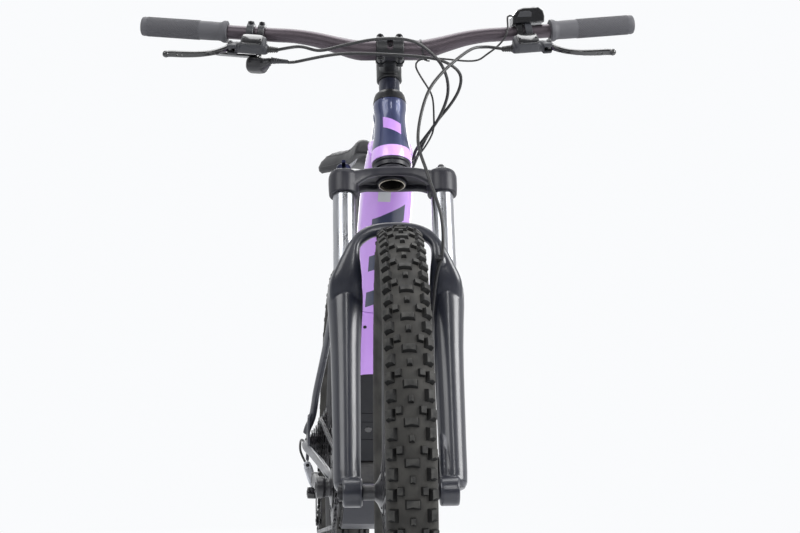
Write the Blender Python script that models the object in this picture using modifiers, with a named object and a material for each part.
# Electric mountain bike: hardtail frame, air fork, mid drive unit, 29 inch wheels.
# Metres, +Z up. The bike faces -Y, the rider's left is +X, the tyres stand on z = 0.
import math

import bmesh
import bpy
from mathutils import Matrix, Vector

# Layout of the whole bike
WHEELBASE = 1.185
HEAD_ANGLE = math.radians(68)
STEER_AT_REST = math.radians(-4.3)
BB_HEIGHT = 0.315
CHAINSTAY_LENGTH = 0.457
SEAT_ANGLE = math.radians(74.5)
GAP = 0.0003

# Wheels
WHEEL_RADIUS = 0.373
TYRE_WIDTH = 0.066
TYRE_WALL = 0.004
RIM_RADIUS = 0.317
RIM_DEPTH = 0.024
RIM_WIDTH = 0.036
TREAD_ANGLE = math.radians(40)
SPOKES = 32
WHEEL_STEPS = SPOKES
HUB_STEPS = 12
SPOKE_RADIUS = 0.0011
SPOKE_LEAN = math.radians(62)
FLANGE_RADIUS = 0.027
FLANGE_THICKNESS = 0.004
FRONT_FLANGE = 0.0270
REAR_FLANGE = 0.0285
HUB_END_RADIUS = 0.011
FRONT_ROTOR_X = 0.042
REAR_ROTOR_X = 0.0555
ROTOR_RADIUS = 0.090
ROTOR_THICKNESS = 0.0018
FRONT_HUB_HALF = 0.0535
REAR_HUB_HALF = 0.0710
HUB_BARREL_RADIUS = 0.016
AXLE_RADIUS = 0.0075
RUNNING_CLEARANCE = 0.0003

# Fork, measured along the steering axis from the front axle
FORK_OFFSET = 0.046
LEG_FORWARD = 0.036
LEG_SPREAD = 0.075
STANCHION_RADIUS = 0.017
FORK_TRAVEL = 0.100
CROWN_RACE = 0.532
CROWN_UNDERSIDE = 0.508
SOCKET_BOTTOM = 0.470
SOCKET_TOP = 0.514
SOCKET_RADIUS = 0.0235
SEAL_TOP = 0.352
LEG_BOTTOM = 0.006
LEG_RADIUS = 0.0195
LEG_TOP_RADIUS = 0.0258
STEERER_RADIUS = 0.0143
STEERER_FOOT_RADIUS = 0.0190
STEERER_WALL = 0.0022
STANCHION_FOOT = 0.210
DROPOUT_INSIDE = 0.054
AXLE_HEAD_AT = -0.079
ARCH_FORWARD = 0.0705
ARCH_TOP = 0.398

# Headset, stem and handlebar
LOWER_CUP = 0.008
CUP_RADIUS = 0.0275
HEAD_TUBE_LENGTH = 0.112
HEAD_TUBE_TOP_RADIUS = 0.0265
HEAD_TUBE_FOOT_RADIUS = 0.0315
COVER_HEIGHT = 0.0185
SPACER_HEIGHT = 0.024
SPACER_RADIUS = 0.0170
STEM_HEIGHT = 0.040
STEM_REACH = 0.056
STEM_RISE = 0.0045
BAR_CLAMP_RADIUS = 0.0159
BAR_RADIUS = 0.0111
BAR_HALF = 0.390
BAR_SWEEP = 0.032
BAR_RISE = 0.0465
BAR_STRAIGHT_FROM = 0.180
BAR_STRAIGHT_SWEEP = 0.006
BAR_STRAIGHT_RISE = 0.0262
CLAMP_RADIUS = 0.0165
GRIP_RADIUS = 0.0155
GRIP_LENGTH = 0.139
LEVER_DROP = math.radians(43)
LEVER_REACH = 0.043
LEVER_PIVOT = 0.064

# Frame tubes
DOWN_TUBE_WIDTH = 0.083
DOWN_TUBE_DEPTH = 0.080
DOWN_TUBE_HEAD = (-0.312, 0.874)
DOWN_TUBE_FOOT = (0.060, 0.392)
TOP_TUBE_RADIUS = 0.021
SEAT_TUBE_RADIUS = 0.0175
SEAT_TUBE_LENGTH = 0.430
SEAT_TUBE_FOOT = 0.078
TOP_TUBE_AT_HEAD = 0.634
TOP_TUBE_AT_SEAT = 0.372
DROPOUT_THICKNESS = 0.007
DROPOUT_RADIUS = 0.021
POST_RADIUS = 0.0136
POST_BORE = 0.0140
STAY_RADIUS = 0.0075
STAY_STEP = 0.09
DRIVE_WIDTH = 0.070
DRIVE_REAR = 0.066
DRIVE_BELLY = ((-0.102, 0.018), (-0.091, -0.030), (-0.070, -0.056), (-0.036, -0.0685), (0.015, -0.0685))
SKID_THICKNESS = 0.003
BATTERY_LENGTH = 0.330
BATTERY_WIDTH = 0.060
BATTERY_DEPTH = 0.052
BATTERY_CLEARANCE = 0.0008

# Drive train
CHAIN_PITCH = 0.0127
CHAIN_LINE = 0.049
CHAIN_WIDTH = 0.0062
CHAIN_HEIGHT = 0.0086
RING_TEETH = 36
COG_TEETH = (36, 32, 28, 24, 20, 16, 13, 11)
COG_IN_USE = 3
COG_SPACING = 0.0043
PULLEY_TEETH = 12
TOOTH_HEIGHT = 0.0022
PLATE_THICKNESS = 0.0018
CRANK_LENGTH = 0.170
CRANK_OFFSET = 0.066
CRANK_THICKNESS = 0.015
CRANK_BOSS = 0.020
CRANK_END_STEPS = 6
PEDAL_BOSS = 0.015
GUIDE_PULLEY = (0.012, -0.110)
TENSION_PULLEY = (-0.014, -0.166)
SPINDLE_RADIUS = 0.012
RING_BORE = 0.032
LINK_TOP = (-0.0745, -0.0503)
LINK_RUN = (0.0130, -0.0390)
CAGE_HALF = 0.0046
CAGE_PLATE = 0.0015

# Saddle and post
SADDLE_LENGTH = 0.275
SADDLE_TOP = 0.972
SADDLE_NOSE = 0.163
POST_FOOT = 0.300
RAIL_RADIUS = 0.0035
RAIL_SPREAD = 0.022
HOSE_RADIUS = 0.0025
HOSE_STEP = 0.036
HOSE_END_STEP = 0.015
WIRE_RADIUS = 0.0015

# Derived places
FRONT_AXLE_Y = -WHEELBASE / 2
REAR_AXLE_Y = WHEELBASE / 2
BB_Y = REAR_AXLE_Y - math.sqrt(CHAINSTAY_LENGTH**2 - (WHEEL_RADIUS - BB_HEIGHT) ** 2)
DRIVE_BACK = BB_Y + DRIVE_REAR
HEAD_TUBE_FOOT = CROWN_RACE + LOWER_CUP
HEAD_TUBE_TOP = HEAD_TUBE_FOOT + HEAD_TUBE_LENGTH
SPACER_FOOT = HEAD_TUBE_TOP + COVER_HEIGHT
STEM_FOOT = SPACER_FOOT + SPACER_HEIGHT
STEM_TOP = STEM_FOOT + STEM_HEIGHT
BAR_HEIGHT = STEM_FOOT + STEM_HEIGHT / 2 + STEM_RISE


def pitch_radius(teeth):
    return teeth * CHAIN_PITCH / (2 * math.pi)


def clear_scene():
    for thing in list(bpy.data.objects):
        bpy.data.objects.remove(thing)


def new_collection(name):
    made = bpy.data.collections.new(name)
    bpy.context.scene.collection.children.link(made)
    return made


def make_material(name, colour, roughness, metallic=0.0):
    made = bpy.data.materials.new(name)
    made.use_nodes = True
    shader = made.node_tree.nodes["Principled BSDF"]
    shader.inputs["Base Color"].default_value = (*colour, 1.0)
    shader.inputs["Roughness"].default_value = roughness
    shader.inputs["Metallic"].default_value = metallic
    made.diffuse_color = (*colour, 1.0)
    return made


clear_scene()
BIKE = new_collection("electric_mountain_bike")
CUTTERS = new_collection("cutters")

LILAC = make_material("lilac_paint", (0.48, 0.28, 0.74), 0.3)
NAVY = make_material("slate_navy_paint", (0.045, 0.055, 0.13), 0.35, 0.4)
BLACK = make_material("satin_black", (0.02, 0.02, 0.024), 0.35)
GREY = make_material("dark_grey_plastic", (0.09, 0.09, 0.10), 0.5)
RUBBER = make_material("rubber", (0.035, 0.035, 0.037), 0.8)
TYRE = make_material("tyre_rubber", (0.05, 0.05, 0.05), 0.85)
CHROME = make_material("chrome", (0.8, 0.8, 0.82), 0.1, 1.0)
STEEL = make_material("steel", (0.5, 0.5, 0.52), 0.3, 1.0)
SILVER = make_material("silver_grey", (0.45, 0.46, 0.48), 0.35, 0.9)
BLUE = make_material("blue_anodised", (0.03, 0.06, 0.35), 0.3, 0.9)
SADDLE = make_material("saddle_cover", (0.02, 0.02, 0.022), 0.6)


def place(obj, parent, location=(0, 0, 0), rotation=None, material=None, helper=False):
    """Link the object below its parent; a helper is a cutter that never shows."""
    (CUTTERS if helper else BIKE).objects.link(obj)
    obj.parent = parent
    obj.matrix_local = Matrix.Translation(location) @ (rotation or Matrix()).to_4x4()
    if material:
        obj.data.materials.append(material)
    if helper:
        obj.hide_render = True
        obj.display_type = "WIRE"
    return obj


def axis_frame(name, parent, matrix):
    made = bpy.data.objects.new(name, None)
    made.empty_display_size = 0.03
    BIKE.objects.link(made)
    made.parent = parent
    made.matrix_local = matrix
    return made


def mesh_object(name, bm):
    mesh = bpy.data.meshes.new(name)
    bm.to_mesh(mesh)
    bm.free()
    return bpy.data.objects.new(name, mesh)


def turn_to(direction):
    """Rotation that takes local +Z to the direction."""
    return Vector(direction).to_track_quat("Z", "Y").to_matrix()


# Local X, Y, Z lie along world Y, Z, X, so an outline is drawn as seen from the side
SIDE_ON = Matrix(((0, 0, 1), (1, 0, 0), (0, 1, 0)))


def smooth(obj, angle=35):
    obj.data.shade_smooth()
    obj.data.set_sharp_from_angle(angle=math.radians(angle))
    return obj


def box(name, size, parent, location, rotation=None, material=None, bevel=0.0, helper=False):
    bm = bmesh.new()
    bmesh.ops.create_cube(bm, size=1)
    bmesh.ops.scale(bm, vec=size, verts=bm.verts)
    obj = place(mesh_object(name, bm), parent, location, rotation, material, helper)
    if bevel:
        round_edges(obj, bevel)
    return obj


def round_edges(obj, width, segments=1):
    bevel = obj.modifiers.new("edges", "BEVEL")
    bevel.width = width
    bevel.segments = segments
    bevel.limit_method = "ANGLE"
    bevel.angle_limit = math.radians(40)


def rod(name, radius, length, parent, location, direction, material=None, sides=16,
        far_radius=None, helper=False):
    """A cylinder or cone that starts at the location and runs along the direction."""
    bm = bmesh.new()
    bmesh.ops.create_cone(bm, cap_ends=True, segments=sides, radius1=radius,
                          radius2=radius if far_radius is None else far_radius, depth=length)
    bmesh.ops.translate(bm, vec=(0, 0, length / 2), verts=bm.verts)
    return place(smooth(mesh_object(name, bm)), parent, location, turn_to(direction), material, helper)


def turned(name, profile, parent, location=(0, 0, 0), rotation=None, material=None, steps=18,
           closed=False, helper=False):
    """Turn (radius, height) points about local Z; the points run down the outer side."""
    bm = bmesh.new()
    verts = [bm.verts.new((radius, 0, height)) for radius, height in profile]
    for first, second in zip(verts, verts[1:] + (verts[:1] if closed else [])):
        bm.edges.new((first, second))
    obj = place(mesh_object(name, bm), parent, location, rotation, material, helper)
    screw = obj.modifiers.new("turn", "SCREW")
    screw.steps = screw.render_steps = steps
    screw.use_merge_vertices = True
    screw.merge_threshold = 0.00002
    screw.use_smooth_shade = True
    return obj


def wire(name, points, radius, parent, material, sides_resolution=2, radii=None, cyclic=False):
    """A round rod along the points."""
    curve = bpy.data.curves.new(name, "CURVE")
    curve.dimensions = "3D"
    curve.bevel_depth = radius
    curve.bevel_resolution = sides_resolution
    curve.use_fill_caps = True
    spline = curve.splines.new("POLY")
    spline.points.add(len(points) - 1)
    spline.use_cyclic_u = cyclic
    for index, (target, point) in enumerate(zip(spline.points, points)):
        target.co = (*point, 1)
        target.radius = radii[index] if radii else 1
    return place(bpy.data.objects.new(name, curve), parent, material=material)


def plate(name, outlines, thickness, parent, location=(0, 0, 0), rotation=None, material=None,
          helper=False):
    """A flat piece from closed outlines; outlines inside the first are holes."""
    curve = bpy.data.curves.new(name, "CURVE")
    curve.dimensions = "2D"
    curve.fill_mode = "BOTH"
    curve.extrude = thickness / 2
    for outline in outlines:
        spline = curve.splines.new("POLY")
        spline.points.add(len(outline) - 1)
        spline.use_cyclic_u = True
        for target, (u, v) in zip(spline.points, outline):
            target.co = (u, v, 0, 1)
    return place(bpy.data.objects.new(name, curve), parent, location, rotation, material, helper)


def as_mesh(obj):
    """Replace a curve object by its welded mesh, so that it can be cut or joined."""
    bpy.context.view_layer.update()
    graph = bpy.context.evaluated_depsgraph_get()
    mesh = bpy.data.meshes.new_from_object(obj.evaluated_get(graph))
    bm = bmesh.new()
    bm.from_mesh(mesh)
    bmesh.ops.remove_doubles(bm, verts=bm.verts, dist=0.00001)
    bmesh.ops.recalc_face_normals(bm, faces=bm.faces)
    bm.to_mesh(mesh)
    bm.free()
    name, parent, local, helper = obj.name, obj.parent, obj.matrix_local.copy(), obj.hide_render
    bpy.data.objects.remove(obj)
    made = bpy.data.objects.new(name, mesh)
    place(made, parent, helper=helper)
    made.matrix_local = local
    return made


def loft(name, rings, parent, material=None, location=(0, 0, 0), rotation=None, helper=False):
    """A closed skin over rings of equal count."""
    bm = bmesh.new()
    loops = [[bm.verts.new(point) for point in ring] for ring in rings]
    for near, far in zip(loops, loops[1:]):
        for index in range(len(near)):
            after = (index + 1) % len(near)
            bm.faces.new((near[index], near[after], far[after], far[index]))
    bm.faces.new(list(reversed(loops[0])))
    bm.faces.new(loops[-1])
    bmesh.ops.recalc_face_normals(bm, faces=bm.faces)
    return place(smooth(mesh_object(name, bm)), parent, location, rotation, material, helper)


def oval_ring(centre, across, along, half_across, half_along, count=12, squareness=2.0):
    """A superellipse ring round the centre in the plane of two directions."""
    centre, across, along = Vector(centre), Vector(across), Vector(along)
    ring = []
    for index in range(count):
        angle = 2 * math.pi * (index + 0.5) / count
        c, s = math.cos(angle), math.sin(angle)
        u = math.copysign(abs(c) ** (2 / squareness), c)
        v = math.copysign(abs(s) ** (2 / squareness), s)
        ring.append(centre + across * half_across * u + along * half_along * v)
    return ring


def combine(obj, others, operation):
    for other in others:
        if other.name not in CUTTERS.objects:
            BIKE.objects.unlink(other)
            CUTTERS.objects.link(other)
        other.hide_render = True
        other.display_type = "WIRE"
        change = obj.modifiers.new(operation.lower(), "BOOLEAN")
        change.operation = operation
        change.object = other
        change.solver = "EXACT"
    return obj


def join(obj, *others):
    return combine(obj, others, "UNION")


def cut(obj, *others):
    return combine(obj, others, "DIFFERENCE")


def circle(radius, count, centre=(0, 0)):
    return [(centre[0] + radius * math.cos(2 * math.pi * i / count),
             centre[1] + radius * math.sin(2 * math.pi * i / count)) for i in range(count)]


def toothed(teeth):
    """Outline of a sprocket with pointed teeth about its pitch circle."""
    radius = pitch_radius(teeth)
    tip, root = radius + TOOTH_HEIGHT, radius - TOOTH_HEIGHT
    points = []
    for tooth in range(teeth):
        for share, reach in ((-0.30, root), (0, tip), (0.30, root)):
            angle = 2 * math.pi * (tooth + share) / teeth
            points.append((reach * math.cos(angle), reach * math.sin(angle)))
    return points


def smooth_route(points, spacing):
    """Points a spacing apart on a smooth curve through the chosen points."""
    points = [Vector(point) for point in points]
    padded = [2 * points[0] - points[1], *points, 2 * points[-1] - points[-2]]
    route = []
    for a, b, c, d in zip(padded, padded[1:], padded[2:], padded[3:]):
        count = max(1, round((c - b).length / spacing))
        for step in range(count):
            t = step / count
            route.append(0.5 * (2 * b + (c - a) * t + (2 * a - 5 * b + 4 * c - d) * t**2
                                + (3 * b - a - 3 * c + d) * t**3))
    return [*route, points[-1]]


# Axis frames: the steering frame has +Z up the steering axis and -Y forward
STEER_FOOT = Vector((0, FRONT_AXLE_Y + FORK_OFFSET * math.sin(HEAD_ANGLE),
                     WHEEL_RADIUS - FORK_OFFSET * math.cos(HEAD_ANGLE)))
HEAD_TILT = Matrix.Rotation(HEAD_ANGLE - math.pi / 2, 4, "X")
HEAD_PLACE = Matrix.Translation(STEER_FOOT) @ HEAD_TILT
HEAD = axis_frame("head_axis", None, HEAD_PLACE)
STEER_TURN = Matrix.Rotation(STEER_AT_REST, 4, "Z")
STEER = axis_frame("steering_axis", HEAD, STEER_TURN)
BAR_CLAMP = Matrix.Translation((0, -STEM_REACH, BAR_HEIGHT)) @ HEAD_TILT.inverted()
COCKPIT = axis_frame("cockpit", STEER, BAR_CLAMP)


def build_wheel(prefix, parent, hub_half, flange, rotor_x):
    """Tyre, rim, laced hub and brake rotor about the parent's X axis."""
    half = TYRE_WIDTH / 2
    middle = (WHEEL_RADIUS + RIM_RADIUS) / 2
    rise = (WHEEL_RADIUS - middle) / math.cos(TREAD_ANGLE)
    flank, bulge = math.radians(125), math.pi / 2
    outer = [(middle + rise * math.cos(angle), -half * math.sin(angle))
             for angle in (-flank, -bulge, -TREAD_ANGLE, TREAD_ANGLE, bulge, flank)]
    inner = [(middle + (rise - TYRE_WALL) * math.cos(angle), (TYRE_WALL - half) * math.sin(angle))
             for angle in (-flank, -TREAD_ANGLE, TREAD_ANGLE, flank)]
    foot, bead = RIM_RADIUS + GAP, RIM_WIDTH / 2 - 0.0005
    outer = [(foot, bead), *outer, (foot, -bead)]
    inner = [(foot, bead - TYRE_WALL), *inner, (foot, TYRE_WALL - bead)]
    turned(prefix + "_tyre", outer + inner[::-1], parent, rotation=SIDE_ON, material=TYRE,
           steps=WHEEL_STEPS, closed=True)

    half_rim, well = RIM_WIDTH / 2, RIM_RADIUS - RIM_DEPTH
    rim = [(RIM_RADIUS, half_rim), (RIM_RADIUS, -half_rim), (RIM_RADIUS - 0.006, -half_rim),
           (well, -half_rim * 0.55), (well, half_rim * 0.55), (RIM_RADIUS - 0.006, half_rim)]
    turned(prefix + "_rim", rim, parent, rotation=SIDE_ON, material=BLACK,
           steps=WHEEL_STEPS, closed=True)

    barrel, bore, lip = HUB_BARREL_RADIUS, AXLE_RADIUS + RUNNING_CLEARANCE, FLANGE_RADIUS + 0.004
    step = 0.006
    hub = [(HUB_END_RADIUS, hub_half), (HUB_END_RADIUS, flange + step), (barrel, flange + step),
           (lip, flange), (lip, flange - FLANGE_THICKNESS), (barrel, flange - step)]
    hub += [(radius, -height) for radius, height in reversed(hub)]
    hub += [(bore, -hub_half), (bore, hub_half)]
    laced = turned(prefix + "_hub_spokes", hub, parent, rotation=SIDE_ON, material=BLACK,
                   steps=HUB_STEPS, closed=True)
    bm = bmesh.new()
    reach = well * math.cos(math.pi / WHEEL_STEPS) - GAP
    for index in range(SPOKES):
        side = 1 if index % 2 else -1
        lean = 1 if index % 4 < 2 else -1
        at_rim = 2 * math.pi * (index + 0.5) / SPOKES
        at_hub = at_rim + lean * SPOKE_LEAN
        inset = 0.0002 if lean > 0 else FLANGE_THICKNESS - 0.0002
        start = Vector((side * (flange - inset), FLANGE_RADIUS * math.cos(at_hub),
                        FLANGE_RADIUS * math.sin(at_hub)))
        end = Vector((side * 0.004, reach * math.cos(at_rim), reach * math.sin(at_rim)))
        run = end - start
        matrix = Matrix.Translation((start + end) / 2) @ turn_to(run).to_4x4()
        bmesh.ops.create_cone(bm, cap_ends=True, segments=3, radius1=SPOKE_RADIUS,
                              radius2=SPOKE_RADIUS, depth=run.length, matrix=matrix)
    spokes = place(mesh_object(prefix + "_spokes", bm), parent, helper=True)
    join(laced, spokes)
    laced.modifiers[-1].use_self = True

    band, hole = ROTOR_RADIUS - 0.017, HUB_END_RADIUS + GAP
    windows = []
    for index in range(6):
        centre = 2 * math.pi * index / 6
        window = [(band, share * 0.37) for share in (-1, -0.33, 0.33, 1)]
        window += [(0.034, 0.26), (0.034, -0.26)]
        windows.append([(reach * math.cos(centre + turn), reach * math.sin(centre + turn))
                        for reach, turn in window])
    plate(prefix + "_rotor", [circle(ROTOR_RADIUS, 28), circle(hole, HUB_STEPS), *windows],
          ROTOR_THICKNESS, parent, (rotor_x, 0, 0), SIDE_ON, STEEL)


def sf(x, forward, up):
    """A point in the steering frame from its distance forward of the steering axis."""
    return Vector((x, -forward, up))


def build_fork_uppers():
    sections = ((-LEG_SPREAD, 0.476, 0.512, 0.018, 0.054), (-0.056, 0.484, 0.516, 0.014, 0.050),
                (-0.044, 0.496, 0.519, 0.004, 0.046), (-0.028, 0.503, 0.521, -0.012, 0.041),
                (0, 0.507, 0.523, -0.026, 0.037))
    sections += tuple((-x, *rest) for x, *rest in reversed(sections[:-1]))
    rings = []
    for x, low, high, back, front in sections:
        rings.append(oval_ring(sf(x, (back + front) / 2, (low + high) / 2), (0, 1, 0), (0, 0, 1),
                               (front - back) / 2, (high - low) / 2, 12, 4))
    crown = loft("fork_crown", rings, STEER, BLACK)
    race, top = CROWN_RACE, STEM_TOP - 0.003
    foot_bore, top_bore = STEERER_FOOT_RADIUS - STEERER_WALL, STEERER_RADIUS - STEERER_WALL
    tube = turned("steerer", [(0, top), (STEERER_RADIUS, top), (STEERER_RADIUS, race + 0.060),
                              (STEERER_FOOT_RADIUS, race + 0.012), (STEERER_FOOT_RADIUS, race),
                              (CUP_RADIUS, race), (CUP_RADIUS + 0.001, race - 0.010),
                              (0.0230, CROWN_UNDERSIDE), (0, CROWN_UNDERSIDE)], STEER, steps=16,
                  helper=True)
    mouth_depth = CROWN_UNDERSIDE + 0.0075
    bore = turned("steerer_bore", [(0, top + 0.01), (top_bore, top + 0.01), (top_bore, race + 0.060),
                                   (foot_bore, race + 0.012), (foot_bore, mouth_depth),
                                   (0.0197, mouth_depth), (0.0197, SOCKET_BOTTOM), (0, SOCKET_BOTTOM)],
                  STEER, steps=16, helper=True)
    sockets, holes = [], []
    for side, x in (("left", LEG_SPREAD), ("right", -LEG_SPREAD)):
        sockets.append(rod("socket_" + side, SOCKET_RADIUS, SOCKET_TOP - SOCKET_BOTTOM, STEER,
                           sf(x, LEG_FORWARD, SOCKET_BOTTOM), (0, 0, 1), helper=True))
        holes.append(rod("socket_hole_" + side, STANCHION_RADIUS + GAP, 0.048, STEER,
                         sf(x, LEG_FORWARD, SOCKET_TOP - 0.006 - 0.048), (0, 0, 1), helper=True))
        rod("stanchion_" + side, STANCHION_RADIUS, SOCKET_TOP - 0.0063 - STANCHION_FOOT, STEER,
            sf(x, LEG_FORWARD, STANCHION_FOOT), (0, 0, 1), CHROME)
    cap = rod("air_cap", 0.0050, 0.010, STEER, sf(LEG_SPREAD, LEG_FORWARD, SOCKET_TOP - 0.001),
              (0, 0, 1), sides=12, helper=True)
    join(crown, *sockets, cap, tube)
    cut(crown, bore, *holes)

    knob_axis = axis_frame("lockout_axis", STEER,
                           Matrix.Translation(sf(-LEG_SPREAD, LEG_FORWARD, SOCKET_TOP + GAP)))
    knob = turned("lockout_knob", [(0, 0.010), (0.0085, 0.009), (0.0115, 0.006), (0.0115, 0), (0, 0)],
                  knob_axis, material=BLUE, steps=16)
    join(knob, box("knob_lever", (0.006, 0.020, 0.006), knob_axis, (0, -0.014, 0.004), helper=True))


def build_fork_lowers(lowers):
    hole = STANCHION_RADIUS + RUNNING_CLEARANCE
    leg = [(0.0220, SEAL_TOP), (0.0240, SEAL_TOP - 0.010), (LEG_TOP_RADIUS, 0.310),
           (0.0210, 0.200), (LEG_RADIUS, 0.060), (LEG_RADIUS, LEG_BOTTOM + 0.006),
           (0.0150, LEG_BOTTOM), (0, LEG_BOTTOM)]
    pieces, cuts = [], []
    for side in (1, -1):
        pieces.append(turned("leg", [(0, SEAL_TOP), *leg], lowers,
                             sf(side * LEG_SPREAD, LEG_FORWARD, 0), steps=16, helper=True))
        cuts.append(rod("leg_hole", hole, 0.30, lowers,
                        sf(side * LEG_SPREAD, LEG_FORWARD, STANCHION_FOOT - FORK_TRAVEL - GAP),
                        (0, 0, 1), helper=True))
        pieces.append(rod("dropout", LEG_RADIUS, 0.0262, lowers,
                          sf(side * DROPOUT_INSIDE, FORK_OFFSET, 0), (side, 0, 0), sides=16,
                          helper=True))
        cuts.append(rod("axle_hole", AXLE_RADIUS + RUNNING_CLEARANCE, 0.060, lowers,
                        sf(side * (DROPOUT_INSIDE - 0.015), FORK_OFFSET, 0), (side, 0, 0), sides=16,
                        helper=True))
    route = [(0.080, 0.046, 0.285), (0.080, 0.062, 0.325), (0.0775, ARCH_FORWARD, 0.358),
             (0.064, ARCH_FORWARD, 0.384), (0.038, ARCH_FORWARD, ARCH_TOP - 0.004),
             (0, ARCH_FORWARD, ARCH_TOP)]
    route += [(-x, f, s) for x, f, s in reversed(route[:-1])]
    points = [sf(*point) for point in route]
    rings = []
    for index, point in enumerate(points):
        ahead = points[min(index + 1, len(points) - 1)] - points[max(index - 1, 0)]
        outward = Vector((ahead.z, 0, -ahead.x)).normalized()
        at_end = min(index, len(points) - 1 - index) < 2
        rings.append(oval_ring(point, outward, (0, 1, 0), 0.0160 if at_end else 0.0135,
                               0.0120 if at_end else 0.0095, 10, 2.8))
    arch = loft("fork_lowers", rings, lowers, BLACK)
    tab = box("caliper_tab", (0.014, 0.060, 0.048), lowers, sf(0.0676, -0.004, 0.052), helper=True)
    clip = box("hose_clip", (0.010, 0.0140, 0.012), lowers, sf(0.0690, 0.0770, 0.352), helper=True)
    recess = rod("axle_recess", 0.0125, 0.030, lowers, sf(AXLE_HEAD_AT, FORK_OFFSET, 0), (-1, 0, 0),
                 helper=True)
    join(arch, *pieces, tab, clip)
    cut(arch, *cuts, recess)


def build_axle(name, parent, half, side):
    """A through axle with a head at the given side, on the parent's X axis."""
    head = 0.012
    profile = [(0, half + 0.006), (head, half + 0.006), (head, half + GAP), (AXLE_RADIUS, half + GAP),
               (AXLE_RADIUS, -half - 0.002), (0, -half - 0.002)]
    spin = SIDE_ON if side > 0 else Matrix.Rotation(math.pi, 3, "Z") @ SIDE_ON
    turned(name, profile, parent, rotation=spin, material=BLACK, steps=16)


def build_caliper(name, parent, axle, reach, angle, rotor_x, shift):
    """A brake caliper across the rotor, a reach from the axle, open towards the axle."""
    turn = Matrix.Rotation(angle, 3, "X")
    centre = Vector(axle) + turn @ Vector((0, reach, 0))
    centre.x = rotor_x + shift
    body = box(name, (0.0300, 0.032, 0.056), parent, centre, turn, BLACK)
    round_edges(body, 0.004)
    slot = box(name + "_slot", (ROTOR_THICKNESS + 0.0014, 0.060, 0.080), parent,
               centre + turn @ Vector((-shift, -0.022, 0)), turn, helper=True)
    cut(body, slot)


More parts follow.
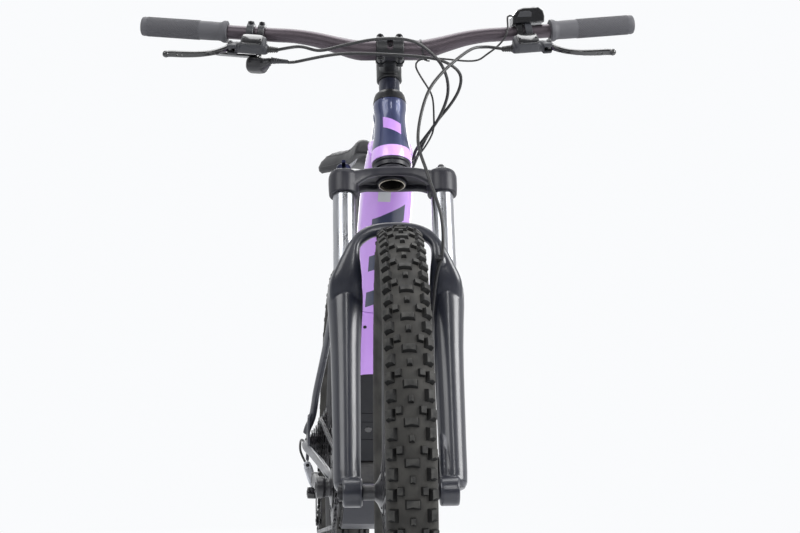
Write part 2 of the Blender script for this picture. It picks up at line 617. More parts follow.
def build_frame_tubes():
    foot, top, up = HEAD_TUBE_FOOT, HEAD_TUBE_TOP, 0.060
    bore_low, bore_high = 0.0225, 0.0180
    outside = [(HEAD_TUBE_TOP_RADIUS, top), (0.0245, top - 0.022), (0.0262, foot + up),
               (HEAD_TUBE_FOOT_RADIUS, foot + 0.022), (HEAD_TUBE_FOOT_RADIUS, foot)]
    cup_face = CROWN_RACE + GAP
    inside = [(CUP_RADIUS, foot), (CUP_RADIUS, cup_face), (bore_low, cup_face),
              (bore_low, foot + up), (bore_high, foot + up + 0.010), (bore_high, top)]
    turned("head_tube", outside + inside, HEAD, material=NAVY, closed=True)
    cover = [(0.0190, SPACER_FOOT - GAP), (0.0255, top + 0.006), (0.0262, top + GAP),
             (STEERER_RADIUS + GAP, top + GAP), (STEERER_RADIUS + GAP, SPACER_FOOT - GAP)]
    turned("headset_cover", cover, HEAD, material=BLACK, closed=True)

    room = [(radius + GAP, height) for radius, height in outside]
    room = [(0, top + 0.05), (room[0][0], top + 0.05), *room, (room[-1][0], foot - 0.05), (0, foot - 0.05)]
    head_cut = turned("head_cut", room, HEAD, helper=True)
    start, end = (Vector((0, *point)) for point in (DOWN_TUBE_HEAD, DOWN_TUBE_FOOT))
    run = (end - start).normalized()
    outward = Vector((0, run.z, -run.y))
    rings = []
    for share, width, depth in ((-0.03, 0.066, 0.060), (0.06, 0.078, 0.072), (0.18, 1, 1),
                                (0.75, 1, 1), (1.0, 0.074, 1)):
        width = DOWN_TUBE_WIDTH if width == 1 else width
        depth = DOWN_TUBE_DEPTH if depth == 1 else depth
        rings.append(oval_ring(start.lerp(end, share), (1, 0, 0), outward, width / 2, depth / 2,
                               16, 3.2))
    down = loft("down_tube", rings, None, LILAC)
    turn = Matrix(((-1, 0, 0), (0, outward.y, -run.y), (0, outward.z, -run.z)))
    pivot = end - run * 0.004 + outward * (DOWN_TUBE_DEPTH / 2 - 0.0005)
    hinge = axis_frame("battery_hinge", None, Matrix.Translation(pivot) @ turn.to_4x4())
    room = BATTERY_CLEARANCE
    pocket = box("battery_pocket", (BATTERY_WIDTH + 2 * room, BATTERY_DEPTH + 0.020 + room,
                                    BATTERY_LENGTH + room + 0.030), hinge,
                 (0, 0.010 - (BATTERY_DEPTH + room) / 2, BATTERY_LENGTH / 2 + room / 2 - 0.015),
                 helper=True)
    cut(down, head_cut, pocket)

    bm = bmesh.new()
    bmesh.ops.create_cube(bm, size=1)
    bmesh.ops.scale(bm, vec=(BATTERY_WIDTH, BATTERY_DEPTH, BATTERY_LENGTH), verts=bm.verts)
    bmesh.ops.translate(bm, vec=(0, -BATTERY_DEPTH / 2, BATTERY_LENGTH / 2), verts=bm.verts)
    slant = math.hypot(BATTERY_LENGTH, BATTERY_DEPTH) - BATTERY_LENGTH
    for vert in bm.verts:
        if vert.co.y < -BATTERY_DEPTH / 2 and vert.co.z > 0:
            vert.co.z -= slant
    pack = place(mesh_object("battery_pack", bm), hinge, material=GREY)
    round_edges(pack, 0.003)

    seat_foot = Vector((0, BB_Y, BB_HEIGHT))
    seat_up = Vector((0, math.cos(SEAT_ANGLE), math.sin(SEAT_ANGLE)))
    lean = Matrix.Rotation(SEAT_ANGLE - math.pi / 2, 4, "X")
    seat = axis_frame("seat_axis", None, Matrix.Translation(seat_foot) @ lean)
    base, collar, high = SEAT_TUBE_FOOT, SEAT_TUBE_LENGTH - 0.022, SEAT_TUBE_LENGTH
    neck, flare = SEAT_TUBE_RADIUS - 0.0015, SEAT_TUBE_RADIUS + 0.002
    tube = [(neck, high), (neck, collar), (SEAT_TUBE_RADIUS, collar), (flare, base),
            (POST_BORE + 0.001, base), (POST_BORE + 0.001, high - 0.14), (POST_BORE, high - 0.13),
            (POST_BORE, high)]
    turned("seat_tube", tube, seat, material=NAVY, closed=True)
    clamp = turned("seat_clamp", [(SEAT_TUBE_RADIUS + 0.003, high - 0.002),
                                  (SEAT_TUBE_RADIUS + 0.003, collar + GAP),
                                  (neck + GAP, collar + GAP), (neck + GAP, high - 0.002)],
                   seat, material=BLACK, closed=True)
    join(clamp, box("clamp_ears", (0.014, 0.014, 0.016), seat,
                    (0, SEAT_TUBE_RADIUS + 0.006, high - 0.011), helper=True))
    seat_cut = turned("seat_cut", [(0, high), (SEAT_TUBE_RADIUS + GAP, high),
                                   (SEAT_TUBE_RADIUS + GAP, collar), (flare + GAP, base),
                                   (flare + GAP, 0.02), (0, 0.02)], seat, helper=True)

    top_start = HEAD_PLACE @ Vector((0, 0, TOP_TUBE_AT_HEAD))
    top_end = seat_foot + seat_up * TOP_TUBE_AT_SEAT
    along = (top_end - top_start).normalized()
    over = Vector((0, -along.z, along.y))
    rings = [oval_ring(top_start.lerp(top_end, share), (1, 0, 0), over, width, height, 12, 2.4)
             for share, width, height in ((0, 0.024, 0.024), (0.25, 0.023, 0.022), (1, 0.0175, 0.019))]
    top_tube = loft("top_tube", rings, None, NAVY)
    cut(top_tube, head_cut, seat_cut)

    stay_cut = box("stay_cut", (0.12, 0.05, 0.08), None, (0, DRIVE_BACK + GAP - 0.025, BB_HEIGHT),
                   helper=True)
    for side, x in (("left", 1), ("right", -1)):
        route = [(0.0150, 0.246, 0.700), (0.0280, 0.272, 0.681), (0.0410, 0.300, 0.661),
                 (0.0455, 0.335, 0.636), (0.0480, 0.380, 0.601), (0.0540, 0.450, 0.545),
                 (0.0625, 0.510, 0.483), (0.0650, 0.540, 0.452), (0.0685, 0.565, 0.424),
                 (0.0762, 0.583, 0.402), (0.0785, 0.588, 0.391)]
        points = smooth_route([(x * a, b, c) for a, b, c in route], STAY_STEP)
        upper = as_mesh(wire("upper_stay_" + side, points, STAY_RADIUS, None, NAVY))
        route = [(0.0330, 0.1950, 0.322), (0.0435, 0.2350, 0.325), (0.0480, 0.2600, 0.328),
                 (0.0525, 0.3100, 0.333), (0.0600, 0.4000, 0.343), (0.0700, 0.4900, 0.354),
                 (0.0785, 0.5450, 0.362), (0.0800, 0.5780, 0.368)]
        points = smooth_route([(x * a, b, c) for a, b, c in route], STAY_STEP)
        stays = as_mesh(wire("stays_" + side, points, STAY_RADIUS + 0.001, None, NAVY))
        centre = (x * (REAR_HUB_HALF + GAP + DROPOUT_THICKNESS / 2), REAR_AXLE_Y, WHEEL_RADIUS)
        drop = as_mesh(plate("dropout_" + side, [circle(DROPOUT_RADIUS, 16)], DROPOUT_THICKNESS, None,
                             centre, SIDE_ON, helper=True))
        hole = rod("dropout_hole_" + side, AXLE_RADIUS + RUNNING_CLEARANCE, 0.03, None,
                   (centre[0] - 0.015, *centre[1:]), (1, 0, 0), helper=True)
        if x < 0:
            extra = box("hanger", (0.0066, 0.018, 0.034), None,
                        (centre[0], REAR_AXLE_Y + 0.006, WHEEL_RADIUS - 0.0250), helper=True)
        else:
            extra = box("caliper_mount", (0.0086, 0.034, 0.060), None, (0.0741, 0.506, 0.388),
                        helper=True)
        join(stays, upper, drop, extra)
        cut(stays, hole, stay_cut, seat_cut)
    return seat


def offset_line(points, distance, closed=False):
    """The points moved sideways, to the left of their direction of travel."""
    moved = []
    count = len(points)
    for index in range(count):
        before = points[index - 1] if index or closed else points[index]
        after = points[(index + 1) % count] if index < count - 1 or closed else points[index]
        along = (Vector(after) - Vector(before)).normalized()
        moved.append((points[index][0] - along.y * distance, points[index][1] + along.x * distance))
    return moved


def build_drive_unit():
    start, end = Vector(DOWN_TUBE_HEAD), Vector(DOWN_TUBE_FOOT)
    run = (end - start).normalized()
    under = Vector((run.y, -run.x)) * (DOWN_TUBE_DEPTH / 2 + 0.001)
    face = end + run * GAP
    seat_up = Vector((math.cos(SEAT_ANGLE), math.sin(SEAT_ANGLE)))
    seat_face = Vector((BB_Y, BB_HEIGHT)) + seat_up * (SEAT_TUBE_FOOT - GAP)
    across = Vector((seat_up.y, -seat_up.x)) * 0.023
    belly = [(BB_Y + y, BB_HEIGHT + z) for y, z in DRIVE_BELLY]
    back = [(BB_Y + 0.050, BB_HEIGHT - 0.052), (DRIVE_BACK, BB_HEIGHT - 0.025),
            (DRIVE_BACK, BB_HEIGHT + 0.040)]
    outline = [tuple(face + under), *belly, *back, tuple(seat_face + across),
               tuple(seat_face - across), tuple(face - under)]
    unit = as_mesh(plate("drive_unit", [outline], DRIVE_WIDTH, None, rotation=SIDE_ON, material=BLACK))
    round_edges(unit, 0.005)
    boss = rod("drive_boss", 0.027, 0.106, None, (-0.046, BB_Y, BB_HEIGHT), (1, 0, 0),
               helper=True)
    bore = rod("drive_bore", SPINDLE_RADIUS + RUNNING_CLEARANCE, 0.16, None, (-0.08, BB_Y, BB_HEIGHT),
               (1, 0, 0), helper=True)
    join(unit, boss)
    cut(unit, bore)
    skid = offset_line(belly, -GAP) + offset_line(belly, -GAP - SKID_THICKNESS)[::-1]
    guard = as_mesh(plate("skid_plate", [skid], DRIVE_WIDTH + 0.002, None, rotation=SIDE_ON,
                          material=GREY))
    round_edges(guard, 0.0008)


def build_cranks(crank):
    plate("chainring", [toothed(RING_TEETH), circle(RING_BORE, 16)], PLATE_THICKNESS, crank,
          (-CHAIN_LINE, 0, 0), SIDE_ON, BLACK)
    spider_face = CHAIN_LINE + PLATE_THICKNESS / 2 + GAP
    inner, thick, length = CRANK_OFFSET, CRANK_THICKNESS, CRANK_LENGTH
    for side, x, way in (("right", -1, 1), ("left", 1, -1)):
        rings = []
        for chamfer, depth in ((0.003, 0), (0, 0.003), (0, thick - 0.003), (0.003, thick)):
            ring = []
            for centre, radius, begin in ((0, CRANK_BOSS, math.pi / 2), (length, PEDAL_BOSS, -math.pi / 2)):
                for index in range(CRANK_END_STEPS + 1):
                    angle = begin + math.pi * index / CRANK_END_STEPS
                    reach = radius - chamfer
                    ring.append(Vector((x * (inner + depth), way * (centre + reach * math.cos(angle)),
                                        reach * math.sin(angle))))
            rings.append(ring)
        arm = loft("crank_arm_" + side, rings, crank, BLACK)
        thread = rod("pedal_hole_" + side, 0.0070, 0.03, crank, (x * (inner - 0.005), way * length, 0),
                     (x, 0, 0), helper=True)
        if x < 0:
            boss = inner + 0.002 - spider_face
            spider = turned("spider", [(0, boss), (0.0175, boss), (0.0175, 0.006), (RING_BORE + 0.008, 0.006),
                                       (RING_BORE + 0.008, 0), (0, 0)],
                            crank, (-spider_face, 0, 0), turn_to((-1, 0, 0)), steps=16, helper=True)
            join(arm, spider)
        else:
            spindle = rod("spindle", SPINDLE_RADIUS, inner + 0.004 + spider_face - GAP, crank,
                          (inner + 0.004, 0, 0), (-1, 0, 0), helper=True)
            join(arm, spindle)
        cut(arm, thread)


def belt_line(wheels):
    """Points of a belt round the wheels; each is centre, radius and 1 inside or -1 outside."""
    contacts = []
    for near, far in zip(wheels, wheels[1:] + wheels[:1]):
        (c0, r0, s0), (c1, r1, s1) = near, far
        gap = Vector(c1) - Vector(c0)
        tilt = math.atan2(gap.y, gap.x) + math.acos((s0 * r0 - s1 * r1) / gap.length)
        contacts.append(tilt)
    points = []
    for index, (centre, radius, side) in enumerate(wheels):
        begin, finish = contacts[index - 1], contacts[index]
        turn = (begin - finish) % (2 * math.pi) if side > 0 else -((finish - begin) % (2 * math.pi))
        steps = max(2, round(abs(turn) / math.radians(24)))
        for step in range(steps + 1):
            angle = begin - turn * step / steps
            points.append((centre[0] + side * radius * math.cos(angle),
                           centre[1] + side * radius * math.sin(angle)))
    return points


def build_chain():
    bottom, axle = Vector((BB_Y, BB_HEIGHT)), Vector((REAR_AXLE_Y, WHEEL_RADIUS))
    pulley = pitch_radius(PULLEY_TEETH)
    wheels = [(tuple(bottom), pitch_radius(RING_TEETH), 1),
              (tuple(axle), pitch_radius(COG_TEETH[COG_IN_USE]), 1),
              (tuple(axle + Vector(GUIDE_PULLEY)), pulley, -1),
              (tuple(axle + Vector(TENSION_PULLEY)), pulley, 1)]
    line = belt_line(wheels)
    chain = as_mesh(plate("chain", [offset_line(line, CHAIN_HEIGHT / 2, True),
                                    offset_line(line, -CHAIN_HEIGHT / 2, True)],
                          CHAIN_WIDTH, None, (-CHAIN_LINE, 0, 0), SIDE_ON, STEEL))
    slot = PLATE_THICKNESS + 0.0012
    for number, (centre, radius, _) in enumerate(wheels):
        cut(chain, rod(f"tooth_slot_{number}", radius + TOOTH_HEIGHT + 0.0006, slot, None,
                       (-CHAIN_LINE - slot / 2, *centre), (1, 0, 0), sides=32, helper=True))


def build_cassette(freehub):
    outer = []
    for index, teeth in enumerate(COG_TEETH):
        tip = pitch_radius(teeth) + TOOTH_HEIGHT
        x = -CHAIN_LINE - (index - COG_IN_USE) * COG_SPACING
        smaller = pitch_radius(COG_TEETH[min(index + 1, len(COG_TEETH) - 1)]) - 0.006
        outer += [(tip, x + PLATE_THICKNESS / 2), (tip, x - PLATE_THICKNESS / 2)]
        outer += [(smaller, x - PLATE_THICKNESS / 2), (smaller, x - COG_SPACING + PLATE_THICKNESS / 2)]
    end = outer[-3][1] - 0.001
    bore = HUB_END_RADIUS + GAP
    outer = outer[:-2] + [(0.0165, outer[-3][1]), (0.0165, end), (bore, end), (bore, outer[0][1])]
    turned("cassette", outer, freehub, rotation=SIDE_ON, material=STEEL, steps=14, closed=True)


def stadium(first, second, radius, count=6):
    """Outline round two circle centres."""
    first, second = Vector(first), Vector(second)
    heading = math.atan2((second - first).y, (second - first).x)
    outline = []
    for centre, begin in ((first, heading + math.pi / 2), (second, heading - math.pi / 2)):
        for index in range(count + 1):
            angle = begin + math.pi * index / count
            outline.append((centre.x + radius * math.cos(angle), centre.y + radius * math.sin(angle)))
    return outline


def build_derailleur():
    hinge_y = REAR_AXLE_Y + 0.008
    top = axis_frame("shift_axis", None,
                     Matrix.Translation((LINK_TOP[0], hinge_y, WHEEL_RADIUS + LINK_TOP[1])))
    run = Vector((LINK_RUN[0], 0, LINK_RUN[1]))
    foot = axis_frame("level_axis", top, Matrix.Translation(run))
    guide = Vector((-CHAIN_LINE, REAR_AXLE_Y + GUIDE_PULLEY[0], WHEEL_RADIUS + GUIDE_PULLEY[1]))
    swing_at = guide - Vector((LINK_TOP[0], hinge_y, WHEEL_RADIUS + LINK_TOP[1])) - run
    swing = axis_frame("cage_axis", foot, Matrix.Translation(swing_at))
    link = rod("derailleur_link", 0.0080, 0.024, top, (0, -0.012, 0), (0, 1, 0), SILVER, 12)
    low = rod("link_foot", 0.0075, 0.024, top, run - Vector((0, 0.012, 0)), (0, 1, 0), sides=12, helper=True)
    web = box("link_web", (0.020, 0.010, run.length), top, run / 2, turn_to(run), helper=True)
    join(link, low, web)

    half = CAGE_HALF + CAGE_PLATE
    knuckle = rod("derailleur_knuckle", 0.0130, 0.018, foot, swing_at - Vector((half + GAP, 0, 0)),
                  (-1, 0, 0), BLACK, 16)
    ear_top = -0.0075 - GAP
    ear = box("knuckle_ear", (0.012, 0.016, ear_top - swing_at.z), foot,
              (-0.0005, swing_at.y, (ear_top + swing_at.z) / 2), helper=True)
    join(knuckle, ear)

    drop = Vector(TENSION_PULLEY) - Vector(GUIDE_PULLEY)
    outline = stadium((0, 0), drop, 0.0115)
    cage = as_mesh(plate("derailleur_cage", [outline], CAGE_PLATE, swing,
                         (-CAGE_HALF - CAGE_PLATE / 2, 0, 0), SIDE_ON, BLACK))
    inner = as_mesh(plate("inner_plate", [outline], CAGE_PLATE, swing,
                          (CAGE_HALF + CAGE_PLATE / 2, 0, 0), SIDE_ON, helper=True))
    pins = [rod("cage_pin", 0.0030, 2 * half - 0.001, swing, (0.0005 - half, *point), (1, 0, 0),
                sides=8, helper=True) for point in ((0, 0), drop)]
    join(cage, inner, *pins)
    teeth = toothed(PULLEY_TEETH)
    for name, point in (("pulley_upper", (0, 0)), ("pulley_lower", drop)):
        axis = axis_frame(name + "_axis", swing, Matrix.Translation((0, *point)))
        plate(name, [teeth, circle(0.0030 + RUNNING_CLEARANCE, 8)], PLATE_THICKNESS, axis,
              rotation=SIDE_ON, material=BLACK)


def build_seat(seat):
    post_axis = axis_frame("post_axis", seat, Matrix.Translation((0, 0, POST_FOOT)))
    rail_z = SADDLE_TOP - 0.047
    slope = Matrix.Rotation(math.pi / 2 - SEAT_ANGLE, 4, "X")
    top_length = (rail_z - 0.012 - BB_HEIGHT) / math.sin(SEAT_ANGLE) - POST_FOOT
    post = rod("seatpost", POST_RADIUS, top_length, post_axis, (0, 0, 0), (0, 0, 1), BLACK)
    level = axis_frame("saddle_level", post_axis, Matrix.Translation((0, 0, top_length)) @ slope)
    height = 0.012 - RAIL_RADIUS - GAP
    head = box("post_head", (0.052, 0.044, 0.020), level, (0, 0.004, height - 0.010), helper=True)
    join(post, head)

    centre_y = BB_Y + (rail_z - 0.012 - BB_HEIGHT) / math.tan(SEAT_ANGLE)
    sections = ((0.000, 0.011, -0.016, 0.008), (0.009, 0.019, -0.005, 0.017),
                (0.040, 0.021, 0.000, 0.019), (0.090, 0.025, -0.002, 0.018),
                (0.140, 0.036, -0.003, 0.018), (0.185, 0.055, -0.001, 0.020),
                (0.225, 0.070, 0.003, 0.022), (0.255, 0.0725, 0.003, 0.021),
                (SADDLE_LENGTH, 0.050, -0.008, 0.012))
    rings = []
    for back, half, top, depth in sections:
        low = 2 * depth
        ring = []
        for share, drop in ((0, 0), (0.45, 0.05), (0.80, 0.25), (1, 0.62), (0.90, 0.95), (0, 0.74)):
            ring.append((half * share, -low * drop))
        ring += [(-u, v) for u, v in reversed(ring[1:-1])]
        rings.append([Vector((u, SADDLE_NOSE + back - centre_y, SADDLE_TOP - rail_z + 0.012 + top + v))
                      for u, v in ring])
    saddle = loft("saddle", rings, level, SADDLE)
    soft = saddle.modifiers.new("soft", "SUBSURF")
    soft.levels = soft.render_levels = 1
    for x in (-RAIL_SPREAD, RAIL_SPREAD):
        route = [(x * 0.35, 0.030, 0.030), (x * 0.7, 0.062, 0.006), (x, 0.090, 0), (x, 0.180, 0),
                 (x * 1.15, 0.205, 0.006), (x * 1.25, 0.235, 0.032)]
        points = [Vector((u, SADDLE_NOSE + v - centre_y, 0.012 + w)) for u, v, w in route]
        join(saddle, as_mesh(wire("rail", points, RAIL_RADIUS, level, STEEL, 1)))


def bar_place(side):
    """Start, outward, forward and up directions of the bar's straight end."""
    start = Vector((side * BAR_STRAIGHT_FROM, BAR_STRAIGHT_SWEEP, BAR_STRAIGHT_RISE))
    outward = Vector((side * (BAR_HALF - BAR_STRAIGHT_FROM), BAR_SWEEP - BAR_STRAIGHT_SWEEP,
                      BAR_RISE - BAR_STRAIGHT_RISE)).normalized()
    forward = (Vector((0, -1, 0)) + outward * outward.y).normalized()
    return start, outward, forward, forward.cross(outward) * side


def bar_point(side, along, forward=0.0, up=0.0):
    start, outward, ahead, above = bar_place(side)
    return start + outward * along + ahead * forward + above * up


def clamp_ring(name, side, along, width):
    outer, bore = CLAMP_RADIUS, BAR_RADIUS + GAP
    return turned(name, [(outer, width), (outer, 0), (bore, 0), (bore, width)], COCKPIT,
                  bar_point(side, along), turn_to(bar_place(side)[1]), steps=16, closed=True, helper=True)


def bar_box(name, side, size, along, forward, up, material=None, bevel=0.0):
    """A block whose sides lie along, forward of and above the bar's straight end."""
    _, outward, ahead, above = bar_place(side)
    turn = Matrix((outward * side, -ahead, above)).transposed()
    return box(name, size, COCKPIT, bar_point(side, along, forward, up), turn, material, bevel,
               helper=material is None)


def build_bar():
    half_route = [(0, 0, 0), (0.045, 0, 0), (0.062, 0.0008, 0.003), (0.085, 0.0015, 0.0095),
                  (0.118, 0.003, 0.0185), (0.150, 0.0045, 0.0240),
                  (BAR_STRAIGHT_FROM, BAR_STRAIGHT_SWEEP, BAR_STRAIGHT_RISE),
                  (BAR_HALF, BAR_SWEEP, BAR_RISE)]
    half_radius = [BAR_CLAMP_RADIUS] * 3 + [0.0150, 0.0132, 0.0118, BAR_RADIUS, BAR_RADIUS]
    route = [(-x, y, z) for x, y, z in reversed(half_route[1:])] + half_route
    radii = half_radius[:0:-1] + half_radius
    wire("handlebar", [Vector(p) for p in route], 1.0, COCKPIT, BLACK, 3, radii)
    bar_end = (BAR_HALF - BAR_STRAIGHT_FROM) / bar_place(1)[1].x
    for name, side in (("grip_left", 1), ("grip_right", -1)):
        begin, cap = bar_end - GRIP_LENGTH + 0.003, bar_end + 0.003
        profile = [(0, cap), (GRIP_RADIUS - 0.002, cap), (GRIP_RADIUS, cap - 0.003),
                   (GRIP_RADIUS, begin + 0.010), (GRIP_RADIUS + 0.002, begin + 0.006),
                   (GRIP_RADIUS + 0.002, begin), (BAR_RADIUS + GAP, begin),
                   (BAR_RADIUS + GAP, bar_end + GAP), (0, bar_end + GAP)]
        profile = [(radius, height - begin) for radius, height in profile]
        turned(name, profile, COCKPIT, bar_point(side, begin), turn_to(bar_place(side)[1]), RUBBER, 16)


def build_stem():
    clamp = rod("stem", 0.0205, STEM_HEIGHT - 2 * GAP, STEER, sf(0, 0, STEM_FOOT + GAP), (0, 0, 1),
                BLACK, 20)
    bar_centre = sf(0, STEM_REACH, BAR_HEIGHT)
    cap = rod("top_cap", 0.0165, 0.005, STEER, sf(0, 0, STEM_TOP - 0.001), (0, 0, 1), helper=True)
    neck = box("stem_neck", (0.034, STEM_REACH - 0.008, 0.030), STEER,
               sf(0, STEM_REACH / 2 - 0.004, BAR_HEIGHT - STEM_RISE / 2), helper=True)
    barrel = rod("stem_barrel", 0.0215, 0.046, STEER, bar_centre - Vector((0.023, 0, 0)), (1, 0, 0),
                 sides=20, helper=True)
    bar_bore = rod("bar_bore", BAR_CLAMP_RADIUS + GAP, 0.08, STEER, bar_centre - Vector((0.04, 0, 0)),
                   (1, 0, 0), sides=24, helper=True)
    steerer_bore = rod("stem_bore", STEERER_RADIUS + GAP, STEM_HEIGHT - 0.0025 + 0.01, STEER,
                       sf(0, 0, STEM_FOOT - 0.01), (0, 0, 1), sides=24, helper=True)
    front_half = box("front_half", (0.08, 0.06, 0.08), STEER, sf(0, STEM_REACH + 0.029, BAR_HEIGHT),
                     helper=True)
    join(clamp, cap, neck, barrel)
    cut(clamp, bar_bore, steerer_bore, front_half)

    plate_body = rod("stem_faceplate", 0.0215, 0.044, STEER, bar_centre - Vector((0.022, 0, 0)),
                     (1, 0, 0), BLACK, 20)
    bosses = [box("bolt_boss", (0.010, 0.010, 0.011), STEER,
                  bar_centre + Vector((x, -0.0065, z)), helper=True)
              for x in (-0.0150, 0.0150) for z in (-0.0195, 0.0195)]
    rear_half = box("rear_half", (0.08, 0.06, 0.08), STEER, sf(0, STEM_REACH - 0.029, BAR_HEIGHT),
                    helper=True)
    window = box("face_window", (0.010, 0.03, 0.022), STEER, sf(0, STEM_REACH + 0.025, BAR_HEIGHT),
                 helper=True)
    join(plate_body, *bosses)
    cut(plate_body, bar_bore, rear_half, window)
    turned("headset_spacer", [(SPACER_RADIUS, STEM_FOOT - GAP), (SPACER_RADIUS, SPACER_FOOT + GAP),
                              (STEERER_RADIUS + GAP, SPACER_FOOT + GAP),
                              (STEERER_RADIUS + GAP, STEM_FOOT - GAP)], STEER, material=NAVY, closed=True)


def build_brake(name, side):
    _, outward, ahead, above = bar_place(side)
    reach_way = ahead * math.cos(LEVER_DROP) - above * math.sin(LEVER_DROP)
    barrel_at = [bar_point(side, along) + reach_way * LEVER_REACH for along in (0.004, LEVER_PIVOT)]
    master = rod("brake_master_" + name, 0.0090, LEVER_PIVOT - 0.004 - 0.0074, COCKPIT, barrel_at[0],
                 outward, BLACK, 12)
    ring = clamp_ring("clamp", side, 0.0395, 0.012)
    neck = box("neck", (0.010, 0.026, 0.011), COCKPIT,
               bar_point(side, 0.0455) + reach_way * (LEVER_REACH / 2 + 0.003),
               turn_to(reach_way) @ Matrix.Rotation(math.pi / 2, 3, "X"), helper=True)
    join(master, ring, neck)

    normal = outward.cross(reach_way).normalized()
    frame = Matrix((outward, reach_way, normal)).transposed().to_4x4()
    frame.translation = barrel_at[1]
    pivot = axis_frame("lever_axis_" + name, COCKPIT, frame)
    route = [(0.002, 0.002), (0.012, 0.012), (0.026, 0.021), (0.046, 0.0275), (0.068, 0.0305),
             (0.088, 0.0315), (0.096, 0.0345)]
    half_heights = [0.0055, 0.0050, 0.0045, 0.0050, 0.0055, 0.0055, 0.0050]
    rings = []
    for index, (u, v) in enumerate(route):
        near, far = route[max(index - 1, 0)], route[min(index + 1, len(route) - 1)]
        along = Vector((far[0] - near[0], far[1] - near[1], 0)).normalized()
        rings.append(oval_ring((u, v, 0), (-along.y, along.x, 0), (0, 0, 1), 0.0035,
                               half_heights[index], 8))
    blade = loft("brake_lever_" + name, rings, pivot, BLACK)
    hub = rod("lever_hub", 0.0070, 0.014, pivot, (0, 0, -0.007), (0, 0, 1), sides=12, helper=True)
    join(blade, hub)


def build_controls():
    body = bar_box("shifter_body", -1, (0.036, 0.034, 0.022), 0.0235, 0.000, -0.0500, BLACK, 0.005)
    ring = clamp_ring("shifter_clamp", -1, 0.0220, 0.010)
    neck = bar_box("shifter_neck", -1, (0.008, 0.011, 0.032), 0.0270, -0.0095, -0.0285)
    adjuster = rod("barrel_adjuster", 0.0045, 0.036, COCKPIT, bar_point(-1, 0.012, 0.009, -0.0425),
                   -bar_place(-1)[1], sides=12, helper=True)
    join(body, ring, neck, adjuster)
    _, outward, _, above = bar_place(-1)
    frame = Matrix((outward, above.cross(outward), above)).transposed().to_4x4()
    frame.translation = bar_point(-1, 0.030, 0.004, -0.0390 + GAP)
    pivot = axis_frame("shift_paddle_axis", COCKPIT, frame)
    outline = [(0.008 * math.cos(math.radians(a)), 0.008 * math.sin(math.radians(a)))
               for a in (70, 110, 150, 190, 230, 270)]
    outline += [(0.020, -0.008), (0.046, -0.006), (0.060, -0.006), (0.064, 0.004), (0.056, 0.012),
                (0.030, 0.006)]
    plate("shift_paddle", [outline], 0.0036, pivot, (0, 0, 0.0018), material=BLACK)

    pod = bar_box("ride_remote", 1, (0.048, 0.026, 0.019), 0.0425, 0.002, 0.0268, BLACK, 0.005)
    ring = clamp_ring("remote_clamp", 1, 0.0250, 0.010)
    foot = bar_box("remote_foot", 1, (0.008, 0.013, 0.008), 0.0300, 0.002, 0.0167)
    join(pod, ring, foot)
    _, outward, _, above = bar_place(1)
    frame = Matrix((outward, above.cross(outward), above)).transposed().to_4x4()
    frame.translation = bar_point(1, 0.0530, 0.002, 0.0363)
    button_axis = axis_frame("remote_button_axis", COCKPIT, frame)
    rod("remote_button", 0.0050, 0.0050 - GAP, button_axis, (0, 0, -0.0020 + GAP), (0, 0, 1), GREY, 12)
    cut(pod, rod("button_hole", 0.0055, 0.010, button_axis, (0, 0, -0.0045), (0, 0, 1), sides=12,
                 helper=True))


def port_of(route, radius):
    """A cutter for the blind hole that a hose ends in."""
    end, before = Vector(route[-1]), Vector(route[-2])
    run = (end - before).normalized()
    return rod("hose_port", radius + 0.0006, 0.026, None, end + run * GAP, -run, sides=12, helper=True)


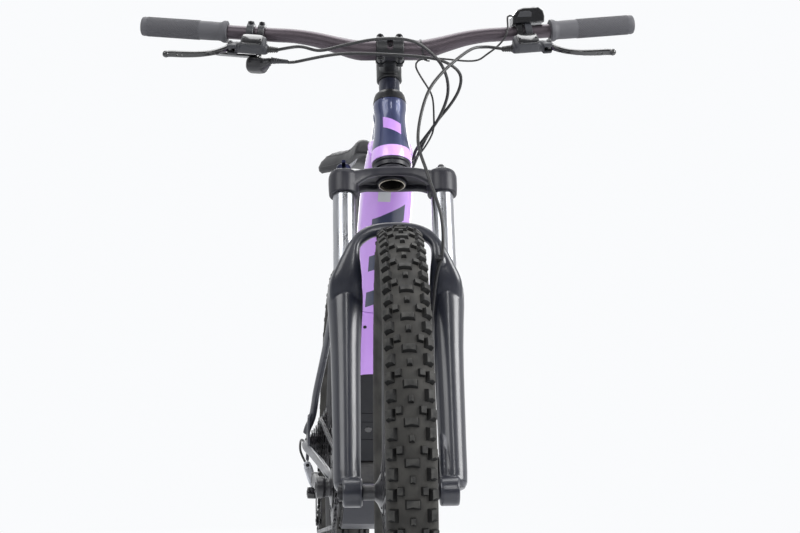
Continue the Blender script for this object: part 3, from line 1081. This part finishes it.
def build_hoses():
    """Brake hoses and wires on their whole visible way; the hidden ways inside the frame are left out."""
    bars = HEAD_PLACE @ STEER_TURN @ BAR_CLAMP
    down_tube = bpy.data.objects["down_tube"]
    reach_drop = Vector((math.cos(LEVER_DROP), -math.sin(LEVER_DROP))) * LEVER_REACH

    def start(side, along, forward, up, lead):
        return [bars @ bar_point(side, place_along, forward, up) for place_along in (along, along - lead)]

    brake = [(-0.148, -0.372, 1.0514), (-0.0807, -0.405, 1.0506), (-0.016, -0.420, 1.0454),
             (0.0266, -0.412, 1.0347), (0.0506, -0.385, 1.0048), (0.0600, -0.352, 0.9714),
             (0.0594, -0.324, 0.9360), (0.0489, -0.308, 0.9090), (0.0435, -0.299, 0.8900),
             (0.0390, -0.292, 0.8720), (0.0300, -0.284, 0.8540)]
    shift = [(-0.0849, -0.362, 1.0291), (-0.0081, -0.376, 1.0278), (0.0710, -0.370, 1.0255),
             (0.1039, -0.352, 1.0031), (0.1041, -0.332, 0.9730), (0.0821, -0.310, 0.9323),
             (0.0567, -0.298, 0.9042), (0.0470, -0.287, 0.8830), (0.0400, -0.277, 0.8620),
             (0.0300, -0.268, 0.8440)]
    remote = [(0.1746, -0.364, 1.0768), (0.1638, -0.364, 1.0447), (0.1380, -0.358, 1.0258),
              (0.0835, -0.350, 1.0258), (0.0495, -0.342, 1.0100), (0.0579, -0.330, 0.9829),
              (0.0694, -0.319, 0.9498), (0.0695, -0.309, 0.9208), (0.0560, -0.303, 0.8930),
              (0.0410, -0.306, 0.8760), (0.0300, -0.3075, 0.8640)]
    front = [(0.1431, -0.362, 1.0487), (0.1144, -0.374, 1.0390), (0.0677, -0.398, 0.9954),
             (0.0429, -0.416, 0.9529), (0.0297, -0.445, 0.8872), (0.0418, -0.476, 0.8311),
             (0.0590, -0.500, 0.7699)]
    steer = HEAD_PLACE @ STEER_TURN
    caliper = [(0.0685, 0.0905, 0.352), (0.0600, 0.0790, 0.320), (0.0545, 0.0620, 0.285),
               (0.0500, 0.0480, 0.240), (0.0490, 0.0360, 0.180), (0.0490, 0.0260, 0.130),
               (0.0480, 0.0105, 0.1030), (0.0480, -0.0005, 0.0873), (0.0480, -0.00905, 0.0755)]
    front = [Vector(p) for p in front] + [steer @ sf(*p) for p in caliper]

    brake = start(-1, 0.004 - GAP, *reach_drop, 0.012) + brake
    front = start(1, 0.004 - GAP, *reach_drop, 0.012) + front
    shift = start(-1, -0.024 - GAP, 0.009, -0.0425, 0.010) + shift
    remote = start(1, 0.0185 - GAP, 0.004, 0.0268, 0.008) + remote
    for name, route, radius, ported in (("rear_brake_hose", brake, HOSE_RADIUS, True),
                                        ("shift_housing", shift, HOSE_RADIUS, True),
                                        ("remote_wire", remote, WIRE_RADIUS, True),
                                        ("front_brake_hose", front, HOSE_RADIUS, False)):
        wire(name, smooth_route(route, HOSE_STEP), radius, None, RUBBER)
        if ported:
            cut(down_tube, port_of(route, radius))

    hose_end = [(0.0500, 0.440, 0.5440), (0.0505, 0.455, 0.5260), (0.0525, 0.4850, 0.4900),
                (0.0545, 0.5160, 0.4620), (0.0545, 0.5233, 0.4429), (0.0545, 0.51865, 0.4301)]
    wire("rear_hose_end", smooth_route(hose_end, HOSE_END_STEP), HOSE_RADIUS, None, RUBBER)
    cut(bpy.data.objects["stays_left"], port_of(hose_end[::-1], HOSE_RADIUS))
    loop = [(-0.0825, 0.5785, 0.3700), (-0.0860, 0.600, 0.3760), (-0.0890, 0.625, 0.3700),
            (-0.0880, 0.640, 0.3500), (-0.0790, 0.635, 0.3290), (-0.0745, 0.6250, 0.3227),
            (-0.0745, 0.6128, 0.3227)]
    wire("shift_housing_end", smooth_route(loop, HOSE_END_STEP), HOSE_RADIUS, None, RUBBER)


def build_bike():
    lowers = axis_frame("fork_slide", STEER, Matrix())
    build_fork_uppers()
    build_fork_lowers(lowers)
    front = axis_frame("front_wheel_axis", lowers, Matrix.Translation(sf(0, FORK_OFFSET, 0)))
    rear = axis_frame("rear_wheel_axis", None, Matrix.Translation((0, REAR_AXLE_Y, WHEEL_RADIUS)))
    build_wheel("front", front, FRONT_HUB_HALF, FRONT_FLANGE, FRONT_ROTOR_X)
    build_wheel("rear", rear, REAR_HUB_HALF, REAR_FLANGE, REAR_ROTOR_X)
    build_axle("front_axle", front, -AXLE_HEAD_AT, -1)
    build_axle("rear_axle", rear, REAR_HUB_HALF + GAP + DROPOUT_THICKNESS, 1)
    build_caliper("front_caliper", lowers, sf(0, FORK_OFFSET, 0), 0.089, math.radians(36),
                  FRONT_ROTOR_X, 0.0033)
    build_caliper("rear_caliper", rear, (0, 0, 0), 0.089, math.radians(160), REAR_ROTOR_X, -0.0010)
    seat = build_frame_tubes()
    build_drive_unit()
    crank = axis_frame("crank_axis", None, Matrix.Translation((0, BB_Y, BB_HEIGHT)))
    build_cranks(crank)
    build_chain()
    build_cassette(axis_frame("freehub_axis", None, rear.matrix_local.copy()))
    build_derailleur()
    build_seat(seat)
    build_bar()
    build_stem()
    build_brake("left", 1)
    build_brake("right", -1)
    build_controls()
    build_hoses()


build_bike()
